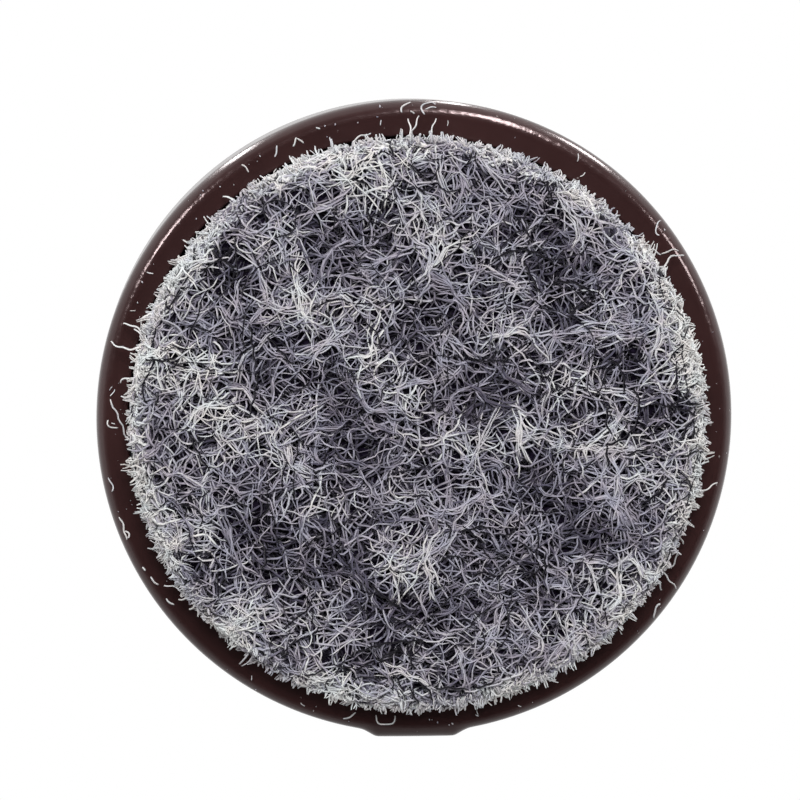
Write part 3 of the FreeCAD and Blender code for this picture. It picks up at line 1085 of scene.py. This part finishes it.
def nail_rings(nail):
    """Rings of the nail. The point is where the round wire meets a square that narrows to the tip.

    The square's side lies at the distance q / m in the direction t, with m the larger of |cos t| and
    |sin t|. Both that larger and the smaller of the wire and the square are softened by a high power.
    """
    seat = CUP_HIGH.z
    tip = NAIL_HIGH.z
    foot = tip - nail.point_length
    half_tip = nail.tip_width / 2
    edge = nail.edge_rounding
    under_head = NAIL_LOW.z + nail.head_thickness
    corners = np.array(
        (
            (0.0, NAIL_LOW.z, edge),
            (NAIL_HIGH.x, NAIL_LOW.z, edge),
            (NAIL_HIGH.x, under_head, edge),
            (nail.neck_radius, under_head, edge),
            (nail.neck_radius, seat, edge),
            (nail.shank_radius, seat, edge),
            (nail.shank_radius, foot, edge),
        )
    )
    turned = round_steps(corners[:, :2], corners[:, 2], NAIL_ARC_POINTS, NAIL_SIDES, False)
    level = np.linspace(0, 1, POINT_RINGS)[1:]
    point = np.stack((np.full_like(level, nail.shank_radius), foot + level * nail.point_length), axis=-1)
    outline = np.concatenate((turned, point))
    turns = even_turns(nail.columns)
    power = POINT_POWER
    larger = (np.abs(np.cos(turns)) ** power + np.abs(np.sin(turns)) ** power) ** (1 / power)
    left = np.clip((tip - outline[:, 1:]) / nail.point_length, 0, None)
    square = (half_tip + (nail.shank_radius - half_tip) * left) / larger
    on_point = outline[:, 1:] > foot
    wire = np.maximum(outline[:, :1], MERGE_DISTANCE)
    soft = (wire**-power + square**-power) ** (-1 / power)
    radii = np.where(on_point, soft, outline[:, :1])
    rings = turn_round(radii, outline[:, 1], turns)
    end = np.broadcast_to((0.0, 0.0, tip), (1, nail.columns, 3))
    return np.concatenate((rings, end))


class GLIDE_OT_glue(bpy.types.Operator):
    """Give the glue film its finish."""

    bl_idname = "glide.glue"
    bl_label = "Glue film"

    def execute(self, context):
        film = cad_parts["glue_film"]
        film.data.materials.clear()
        film.data.materials.append(glue_material())
        return {"FINISHED"}


# Body of the felt: steps round the axis, rings over the face, edge and side, and size of a lump.
BODY_COLUMNS = 160
FACE_RINGS = 56
EDGE_RINGS = 10
SIDE_RINGS = 14
LUMP_SIZE = 0.6 * MM


class GLIDE_OT_felt_body(bpy.types.Operator):
    """Make the dense body of the felt under its fibres."""

    bl_idname = "glide.felt_body"
    bl_label = "Felt body"

    def execute(self, context):
        felt = context.scene.glide_felt
        material = felt_body_material(felt)
        body = add_rings("felt_body", felt_rings(felt), False, material, FELT_NODES)
        return {"FINISHED"}


def felt_rings(felt):
    """Rings of the felt's body: the felt's outline sunk in, less over the edge, and uneven by waves."""
    draws = np.random.default_rng(felt.seed)
    lumps = waves(draws, LUMP_SIZE)
    flat_radius = FELT_HIGH.x - felt.edge_rounding
    edge = felt.edge_rounding * math.pi / 2
    side = FELT_HIGH.z - FELT_LOW.z - felt.edge_rounding
    reach = np.concatenate(
        (
            np.linspace(0, flat_radius, FACE_RINGS, endpoint=False),
            np.linspace(flat_radius, flat_radius + edge, EDGE_RINGS, endpoint=False),
            np.linspace(flat_radius + edge, flat_radius + edge + side, SIDE_RINGS),
        )
    )
    turn = even_turns(BODY_COLUMNS)
    spots = reach[:, None, None] * np.stack((np.cos(turn), np.sin(turn)), axis=-1)[None]
    over = np.clip((reach - flat_radius) / edge, 0, 1)[:, None]
    sunk = felt.body_depth + (felt.rim_depth - felt.body_depth) * over
    uneven = felt.body_lumps * lumps(spots) * (reach > 0)[:, None]
    place, _ = on_felt(felt, spots, np.minimum(sunk + uneven, felt.edge_rounding))
    top = np.broadcast_to((0.0, 0.0, FELT_HIGH.z), (1, BODY_COLUMNS, 3))
    return np.concatenate((place, top))


# Lie of a fibre: scatter of depth, lift on a pale patch, swing and pace of its weave, dip of its ends.
DEPTH_SCATTER = 0.02 * MM
PATCH_LIFT = 0.05 * MM
WEAVE = 0.11 * MM
WEAVE_PACE = (4, 10)
END_DIP = 0.4 * MM
# Tone of a fibre: scatter, share of its patch, rise at the rim, where it starts inside it and how wide.
# The rise at the rim is painted light: fibres near the cut edge paler, as if less shaded.
TONE_SCATTER = 0.06
PATCH_TONE = 0.24
PAINTED_RIM_LIGHT = 0.2
PAINTED_LIGHT_BAND = 1.7 * MM
PAINTED_LIGHT_RISE = 1.3 * MM
# Fibres with a drawn tone up to this stay black.
BLACK_BELOW = 0.05
# Widths of the fibres, and width of their tips, as shares of the full one.
FIBRE_WIDTHS = (0.6, 1.3)
FIBRE_TIP = 0.5
# Cut ends at the rim: tufts, ends in a tuft, and points along an end.
BRISTLE_TUFTS = 1000
BRISTLE_STRANDS = 3
BRISTLE_POINTS = 4
# Their roots: first share of the edge's rounding, reach up the side, spread in a tuft, and depth.
BRISTLE_START = 0.5
BRISTLE_CLIMB = 0.6 * MM
BRISTLE_SPREAD = 0.09 * MM
BRISTLE_DEPTH = 0.04 * MM
# Their way: lean of a tuft, lean and bend of an end, and how far a tuft draws together at its tips.
TUFT_LEAN = 0.5
BRISTLE_LEAN = 0.15
BRISTLE_BEND = 0.3
BRISTLE_GATHER = 0.6
# Their length in millimetres: middle one, spread of its logarithm, and least and most.
BRISTLE_LENGTH = 0.19
BRISTLE_LENGTH_SPREAD = 0.35
BRISTLE_LENGTHS = (0.1, 0.5)
# Their widths and width of the tips as shares of the full one, tones, and share of the patch.
BRISTLE_WIDTHS = (0.8, 1.15)
BRISTLE_TIP = 0.55
BRISTLE_TONES = (0.84, 1.0)
BRISTLE_PATCH_TONE = 0.12
# A direction that hardly any end has, to set off its sides.
BRISTLE_SIDE = (0.3, 0.5, 0.8)


class GLIDE_OT_felt_fibres(bpy.types.Operator):
    """Lay the felt's fibres layer by layer, bristle its rim and lay the black fibres on top."""

    bl_idname = "glide.felt_fibres"
    bl_label = "Felt fibres"

    def execute(self, context):
        felt = context.scene.glide_felt
        draws = np.random.default_rng(felt.seed + 1)
        material = fibre_material(felt)
        paleness = tufts(draws, felt.tuft_size)
        shift = webs(draws, felt.web_size, felt.web_reach)
        for layer in LAYERS:
            lay_fibres(draws, layer, felt, paleness, shift, material)
        bristle_rim(draws, felt, paleness, material)
        lay_hairs(felt, material)
        return {"FINISHED"}


def lay_fibres(draws, layer, felt, paleness, shift, material):
    """One layer of curled fibres spread over the felt between two distances from its rim.

    Each fibre weaves up and down by a sine and dips at its ends by the fourth power of the way from its
    middle. Its tone follows the patch that it lies in and rises towards the rim as painted light, unless
    it is black.
    """
    rounding = felt.edge_rounding
    bundles = math.ceil(layer.count / layer.strands)
    rim = FELT_HIGH.x - rounding + rounding * math.pi / 2
    spread = draws.normal(0, layer.spread * MM, (layer.count, 2))
    middles = scatter_ring(draws, bundles, rim + layer.rim[0] * MM, rim + layer.rim[1] * MM)
    middles = shared(middles, layer.strands, layer.count) + spread
    spots = middles[:, None] + curled_lines(draws, layer)
    spots = spots + shift(spots)
    patch = paleness(middles)
    base = shared(draws.uniform(*layer.depth, bundles), layer.strands, layer.count) * MM
    base = base + draws.normal(0, DEPTH_SCATTER, layer.count) - PATCH_LIFT * patch
    run = np.linspace(-1, 1, layer.points)[None, :]
    pace = draws.uniform(*WEAVE_PACE, layer.count)[:, None]
    start = draws.uniform(0, FULL_TURN, layer.count)[:, None]
    weave = WEAVE * np.sin(pace * run + start) + END_DIP * run**4
    depth = np.clip(base[:, None] + weave, felt.fibre_radius, rounding)
    paths, normal = on_felt(felt, spots, depth)
    tone = shared(draws.uniform(*layer.tone, bundles), layer.strands, layer.count)
    # Painted light: fibres get paler towards the rim, as if less shaded at the cut edge.
    edge = np.clip((np.linalg.norm(middles, axis=1) - (rim - PAINTED_LIGHT_BAND)) / PAINTED_LIGHT_RISE, 0, 1)
    lively = tone > BLACK_BELOW
    own = draws.normal(0, TONE_SCATTER, layer.count)
    tone = tone + lively * (own + PATCH_TONE * patch + PAINTED_RIM_LIGHT * edge)
    tones = np.broadcast_to(np.clip(tone, 0, 1)[:, None], paths.shape[:2])
    thick = felt.fibre_radius * layer.thickness * draws.uniform(*FIBRE_WIDTHS, layer.count)[:, None]
    radii = thick * taper(layer.count, layer.points, FIBRE_TIP)
    add_tubes(layer.name, paths, normal, radii, tones, material, FELT_NODES)


def bristle_rim(draws, felt, paleness, material):
    """Short cut ends that stand out all round the rim, in tufts that draw together at their tips."""
    tuft_count, strands, points = BRISTLE_TUFTS, BRISTLE_STRANDS, BRISTLE_POINTS
    count = tuft_count * strands
    rounding = felt.edge_rounding
    flat_radius = FELT_HIGH.x - rounding
    highest = rounding * math.pi / 2 + BRISTLE_CLIMB
    reach = flat_radius + draws.uniform(BRISTLE_START * rounding, highest, tuft_count)
    turn = draws.uniform(0, FULL_TURN, tuft_count)
    spots = reach[:, None] * np.stack((np.cos(turn), np.sin(turn)), axis=-1)
    spots = shared(spots, strands, count) + draws.normal(0, BRISTLE_SPREAD, (count, 2))
    place, normal = on_felt(felt, spots, np.full(count, BRISTLE_DEPTH))
    lean = shared(draws.normal(0, TUFT_LEAN, (tuft_count, 3)), strands, count)
    way = unit(normal + lean + draws.normal(0, BRISTLE_LEAN, (count, 3)))
    bend = draws.normal(0, BRISTLE_BEND, (count, 3))
    size = draws.lognormal(math.log(BRISTLE_LENGTH), BRISTLE_LENGTH_SPREAD, tuft_count)
    size = shared(np.clip(size, *BRISTLE_LENGTHS), strands, count) * MM
    run = np.linspace(0, 1, points)[None, :, None]
    paths = place[:, None] + size[:, None, None] * (way[:, None] * run + bend[:, None] * run**2 / 2)
    gathered = paths.reshape(tuft_count, strands, points, 3)
    gathered += BRISTLE_GATHER * run[None] ** 2 * (gathered.mean(axis=1, keepdims=True) - gathered)
    paths[..., 2] = np.clip(paths[..., 2], felt.fibre_radius, CUP_LOW.z - felt.fibre_radius)
    sideways = np.broadcast_to(unit(np.cross(way, BRISTLE_SIDE))[:, None], paths.shape)
    widths = felt.fibre_radius * draws.uniform(*BRISTLE_WIDTHS, count)
    radii = widths[:, None] * np.linspace(1, BRISTLE_TIP, points)[None]
    tone = draws.uniform(*BRISTLE_TONES, count) + BRISTLE_PATCH_TONE * paleness(spots)
    tones = np.broadcast_to(np.clip(tone, 0, 1)[:, None], (count, points))
    add_tubes("felt_bristles", paths, sideways, radii, tones, material, FELT_NODES)


# Black fibres on the felt: bearing and radius of the start, heading, length and bend, in degrees and
# millimetres.
HAIRS = (
    (339.3, 6.77, 21, 1.67, 54),
    (349.8, 7.40, 54, 3.02, 45),
    (354.6, 6.48, 117, 1.17, -63),
    (355.2, 7.92, 358, 1.95, 19),
    (358.6, 9.41, 143, 0.89, -46),
    (5.8, 6.39, 81, 0.87, 6),
    (9.0, 6.98, 333, 1.09, 17),
    (319.1, 7.35, 26, 0.75, 52),
    (323.5, 6.37, 315, 0.87, 6),
    (355.1, 9.22, 54, 0.74, -169),
    (218.5, 9.97, 76, 0.54, 0),
    (220.3, 9.26, 39, 1.05, -9),
    (194.2, 9.83, 18, 1.45, -25),
    (212.6, 6.79, 88, 1.73, -6),
    (211.1, 6.07, 49, 1.45, 0),
    (198.0, 5.79, 97, 1.60, 7),
    (207.6, 9.83, 100, 0.63, -101),
    (187.3, 8.95, 101, 0.44, 0),
    (254.2, 8.76, 342, 0.81, 102),
    (256.5, 7.82, 62, 0.84, 53),
    (264.1, 9.86, 79, 0.44, 0),
    (293.1, 6.01, 310, 2.84, 38),
    (302.1, 6.68, 65, 1.46, -3),
    (296.7, 9.58, 75, 1.08, 0),
    (297.4, 9.35, 349, 0.57, 0),
    (280.2, 9.18, 288, 0.55, 0),
    (312.2, 6.48, 330, 1.92, 47),
    (323.3, 6.35, 319, 0.86, 0),
    (178.6, 7.86, 70, 1.60, -11),
    (160.8, 6.90, 50, 0.91, -33),
    (142.9, 6.71, 54, 0.92, 84),
    (105.7, 8.05, 334, 2.43, 14),
    (93.0, 7.46, 87, 1.07, -27),
    (100.4, 8.19, 324, 0.83, 19),
    (107.9, 5.64, 52, 1.41, -19),
    (96.4, 8.58, 38, 0.81, 55),
    (91.2, 8.75, 13, 1.21, 69),
    (92.2, 9.06, 39, 0.74, 67),
    (87.0, 9.02, 349, 1.22, 23),
    (78.3, 9.15, 12, 0.90, -79),
    (76.0, 3.37, 35, 0.74, 106),
    (69.9, 4.01, 318, 1.15, 50),
    (11.4, 8.63, 99, 1.46, 47),
    (45.0, 6.08, 87, 0.95, 12),
)
# Loose fibres at the rim, and lint on the lip, drawn in the same way.
STRAYS = (
    (198.0, 9.9, 240, 0.77, -90),
    (197.7, 9.87, 220, 0.36, 0),
    (195.6, 9.82, 160, 1.1, 52),
    (193.6, 9.81, 145, 0.36, 0),
    (189.1, 9.78, 212, 0.6, -170),
    (186.0, 9.77, 112, 0.5, 200),
    (328.3, 9.89, 270, 1.05, 112),
    (156.5, 9.75, 68, 0.65, 170),
    (142.8, 9.89, 242, 1.0, -70),
    (142.9, 9.83, 161, 0.4, 0),
    (141.1, 9.81, 126, 0.35, 20),
    (140.2, 9.86, 84, 0.35, -20),
    (14.0, 9.94, 337, 0.75, 0),
    (19.4, 9.75, 350, 0.25, 0),
    (23.3, 9.82, 63, 0.5, 10),
    (26.0, 9.76, 46, 1.2, 97),
    (31.6, 9.81, 50, 0.95, 0),
    (33.6, 9.91, 62, 0.48, 0),
    (268.4, 9.76, 263, 0.62, 8),
    (268.6, 9.94, 298, 0.62, 0),
    (272.1, 9.7, 285, 0.75, 12),
    (256.8, 9.85, 320, 0.75, 50),
    (98.8, 9.89, 145, 0.38, 0),
    (96.6, 9.94, 86, 0.3, 0),
    (90.0, 9.87, 71, 0.38, 0),
    (230.7, 9.86, 189, 0.4, 0),
    (237.9, 9.71, 220, 0.3, 0),
    (244.2, 9.69, 253, 0.42, 0),
    (218.5, 9.84, 212, 0.32, 0),
    (249.5, 9.75, 258, 0.33, 0),
    (202.8, 9.86, 160, 0.75, -103),
)
LINT = (
    (184.2, 10.53, 60, 1.6, 9),
    (180.3, 10.58, 100, 0.55, -218),
    (169.6, 10.77, 50, 0.54, 93),
    (162.1, 10.75, 65, 0.86, 23),
    (159.3, 10.72, 20, 0.35, 285),
    (322.9, 10.5, 202, 0.66, 230),
    (324.2, 10.05, 30, 0.36, 0),
    (326.0, 10.19, 320, 0.65, 89),
    (37.3, 10.67, 152, 0.6, -133),
    (271.5, 10.5, 227, 0.85, 217),
    (271.7, 10.68, 352, 0.39, 0),
    (267.3, 10.58, 256, 0.56, 204),
    (97.7, 10.35, 90, 1.1, -159),
    (103.7, 10.69, 333, 0.5, 0),
    (241.8, 10.28, 281, 0.4, 20),
    (245.8, 10.32, 299, 0.33, 0),
    (247.2, 10.52, 48, 0.28, 0),
    (235.8, 10.64, 39, 0.37, 30),
    (151.9, 10.7, 49, 0.16, 0),
    (149.6, 10.62, 41, 0.39, 0),
    (144.6, 10.58, 38, 0.35, 0),
    (268.9, 10.62, 6, 0.17, 300),
    (251.2, 10.63, 30, 0.14, 0),
)
# Dust on the lip: bearing in degrees and radius in millimetres.
SPECKS = (
    (263.4, 10.8),
    (259.0, 10.44),
    (254.6, 10.5),
    (262.5, 10.52),
    (85.9, 10.52),
    (87.5, 10.48),
    (83.1, 10.71),
    (230.2, 10.45),
    (222.5, 10.25),
    (227.3, 10.79),
    (207.2, 10.58),
    (203.3, 10.41),
    (239.5, 10.58),
    (252.9, 10.61),
    (322.9, 10.74),
)
# Sway of the lines in these tables: swing in degrees and pace in radians to the millimetre.
THREAD_SWING = 18
THREAD_PACE = 12
# Black fibres: points along one, how deep its ends are tucked in, and width as a share of the full one.
HAIR_POINTS = 20
HAIR_TUCK = 0.3 * MM
HAIR_WIDTH = 1.25
# Loose fibres: points along one, distance of the roots inside the felt's side in depths of the short
# cut, heights and rise in millimetres, widths, share by which the tips are thinner, and tones.
STRAY_POINTS = 14
STRAY_ROOT = 2
STRAY_HEIGHTS = (0.8, 1.3)
STRAY_RISE = 0.5
STRAY_WIDTHS = (0.95, 1.2)
STRAY_THINNING = 0.25
STRAY_TONES = (0.9, 1.0)
# Lint: points along a bit, widths, width of the tips, and tones.
LINT_POINTS = 12
LINT_WIDTHS = (0.85, 1.15)
LINT_TIP = 0.6
LINT_TONES = (0.86, 1.0)
# More lint at random: bits, radii and lengths in millimetres, spread of the bend, and share of width.
MORE_LINT = 16
LINT_RADII = (10.1, 10.6)
LINT_LENGTHS = (0.1, 0.3)
LINT_BEND = 80
MORE_LINT_WIDTH = 0.6
# Dust: points along a grain, angle cut off both ends of its half sine, radius to its length, and tones.
DUST_POINTS = 5
DUST_END = 0.15
DUST_WIDTH = 0.4 * MM
DUST_TONES = (0.6, 0.95)
# Lengths of the grains in the table, and number, radii and lengths of those at random, in millimetres.
SPECK_SIZES = (0.06, 0.1)
MORE_DUST = 60
DUST_RADII = (10.08, 10.9)
DUST_SIZES = (0.02, 0.05)


class GLIDE_OT_lint(bpy.types.Operator):
    """Lay the loose fibres over the felt's rim and the lint and dust on the cup's lip."""

    bl_idname = "glide.lint"
    bl_label = "Lint"

    def execute(self, context):
        felt = context.scene.glide_felt
        draws = np.random.default_rng(felt.seed + 2)
        material = bpy.data.materials["felt_fibre"]
        surface = lip_surface(context.scene.glide_cup, felt.fibre_radius)
        lay_strays(draws, felt, material)
        lay_lint(draws, felt, material, surface)
        lay_dust(draws, material, surface)
        return {"FINISHED"}


def lip_surface(cup, clearance):
    """Height at which a thread lies on the lip and shoulder, read off the cup's outline by radius."""
    outline = cup_outline(cup)
    widest = CUP_LOW.z + cup.shoulder_height
    lower = outline[(outline[:, 1] < widest) & (outline[:, 0] > CUP_HIGH.x - cup.wall)]
    lower = lower[np.argsort(lower[:, 0])]
    return lambda radius: np.interp(radius, lower[:, 0], lower[:, 1]) - clearance


def drawn_lines(table, points):
    """Lines in plan from rows of bearing, radius, heading, length and bend.

    The heading at distance s is h + b s + THREAD_SWING sin(THREAD_PACE s + row), and the line is the
    running sum of its steps.
    """
    bearing, radius, heading, size, bend = np.array(table, float).T[..., None]
    middles = (np.arange(points - 1) + 0.5) / (points - 1) * size
    sway = THREAD_SWING * np.sin(THREAD_PACE * middles + np.arange(len(table))[:, None])
    way = np.radians(heading + bend * middles + sway)
    step = (size / (points - 1) * MM)[..., None]
    steps = np.stack((np.cos(way), np.sin(way)), axis=-1) * step
    turn = np.radians(bearing)
    start = np.stack((np.cos(turn), np.sin(turn)), axis=-1) * (radius * MM)[..., None]
    return np.concatenate((start, start + np.cumsum(steps, axis=1)), axis=1)


def add_threads(name, plan, heights, radii, tones, material):
    """Tubes along lines in plan at the given heights."""
    paths = np.concatenate((plan, heights[..., None]), axis=-1)
    downwards = np.broadcast_to((0.0, 0.0, -1.0), paths.shape)
    add_tubes(name, paths, downwards, radii, np.broadcast_to(tones[:, None], radii.shape), material)


def lay_hairs(felt, material):
    """Black fibres that lie on the felt, their ends tucked in by the power with which they taper."""
    plan = drawn_lines(HAIRS, HAIR_POINTS)
    run = np.linspace(-1, 1, HAIR_POINTS)
    depth = np.broadcast_to(HAIR_TUCK * run**TAPER_POWER, plan.shape[:2])
    paths, normal = on_felt(felt, plan, depth)
    radii = HAIR_WIDTH * felt.fibre_radius * taper(len(plan), HAIR_POINTS, FIBRE_TIP)
    add_tubes("felt_hairs", paths, normal, radii, np.zeros_like(radii), material, FELT_NODES)


def lay_strays(draws, felt, material):
    """Loose fibres that are rooted in the felt's side and hang out over the lip."""
    plan = drawn_lines(STRAYS, STRAY_POINTS)
    count = len(plan)
    root = FELT_HIGH.x - STRAY_ROOT * felt.short_by
    plan[:, 0] *= root / np.linalg.norm(plan[:, 0], axis=-1, keepdims=True)
    low = draws.uniform(*STRAY_HEIGHTS, count)[:, None]
    run = np.linspace(0, 1, STRAY_POINTS)[None, :]
    heights = (low + STRAY_RISE * run**2) * MM
    widths = felt.fibre_radius * draws.uniform(*STRAY_WIDTHS, count)
    radii = widths[:, None] * (1 - STRAY_THINNING * run**2)
    add_threads("felt_strays", plan, heights, radii, draws.uniform(*STRAY_TONES, count), material)


def lay_lint(draws, felt, material, surface):
    """Bits of lint that lie on the lip: the ones drawn in LINT and a few more at random."""
    loose = np.stack(
        (
            draws.uniform(0, 360, MORE_LINT),
            draws.uniform(*LINT_RADII, MORE_LINT),
            draws.uniform(0, 360, MORE_LINT),
            draws.uniform(*LINT_LENGTHS, MORE_LINT),
            draws.normal(0, LINT_BEND, MORE_LINT),
        ),
        axis=-1,
    )
    plan = drawn_lines(np.concatenate((np.array(LINT), loose)), LINT_POINTS)
    count = len(plan)
    heights = surface(np.linalg.norm(plan, axis=-1))
    shares = np.concatenate((np.full(len(LINT), 1.0), np.full(MORE_LINT, MORE_LINT_WIDTH)))
    widths = felt.fibre_radius * (shares * draws.uniform(*LINT_WIDTHS, count))
    radii = widths[:, None] * taper(count, LINT_POINTS, LINT_TIP)
    add_threads("lip_lint", plan, heights, radii, draws.uniform(*LINT_TONES, count), material)


def lay_dust(draws, material, surface):
    """Grains of dust on the lip, each a short thread whose radius follows a half sine."""
    loose = np.stack((draws.uniform(0, 360, MORE_DUST), draws.uniform(*DUST_RADII, MORE_DUST)), axis=-1)
    spots = np.concatenate((np.array(SPECKS), loose))
    count = len(spots)
    drawn = draws.uniform(*SPECK_SIZES, len(SPECKS))
    sizes = np.concatenate((drawn, draws.uniform(*DUST_SIZES, MORE_DUST)))
    table = np.column_stack((spots, draws.uniform(0, 360, count), sizes, np.zeros(count)))
    plan = drawn_lines(table, DUST_POINTS)
    swell = np.sin(np.linspace(DUST_END, math.pi - DUST_END, DUST_POINTS))[None, :]
    radii = DUST_WIDTH * sizes[:, None] * swell
    heights = surface(np.linalg.norm(plan, axis=-1))
    add_threads("lip_dust", plan, heights, radii, draws.uniform(*DUST_TONES, count), material)


class GLIDE_PT_panel(bpy.types.Panel):
    """Lists the steps that build the glide."""

    bl_label = "Furniture glide"
    bl_idname = "GLIDE_PT_panel"
    bl_space_type = "VIEW_3D"
    bl_region_type = "UI"
    bl_category = "Glide"

    def draw(self, context):
        for operator in OPERATORS:
            self.layout.operator(operator.bl_idname)


SETTINGS = {
    "glide_cup": CupSettings,
    "glide_nail": NailSettings,
    "glide_felt": FeltSettings,
    "glide_stage": StageSettings,
}
OPERATORS = (
    GLIDE_OT_cup,
    GLIDE_OT_nail,
    GLIDE_OT_glue,
    GLIDE_OT_felt_body,
    GLIDE_OT_felt_fibres,
    GLIDE_OT_lint,
    GLIDE_OT_stage,
)


def register():
    for name, group in SETTINGS.items():
        bpy.utils.register_class(group)
        setattr(bpy.types.Scene, name, bpy.props.PointerProperty(type=group))
    for item in (*OPERATORS, GLIDE_PT_panel):
        bpy.utils.register_class(item)


def unregister():
    for item in (GLIDE_PT_panel, *reversed(OPERATORS)):
        bpy.utils.unregister_class(item)
    for name, group in reversed(SETTINGS.items()):
        delattr(bpy.types.Scene, name)
        bpy.utils.unregister_class(group)


def main():
    register()
    bpy.ops.glide.cup()
    bpy.ops.glide.nail()
    bpy.ops.glide.glue()
    bpy.ops.glide.felt_body()
    bpy.ops.glide.felt_fibres()
    bpy.ops.glide.lint()
    bpy.ops.glide.stage()


if __name__ == "__main__":
    main()
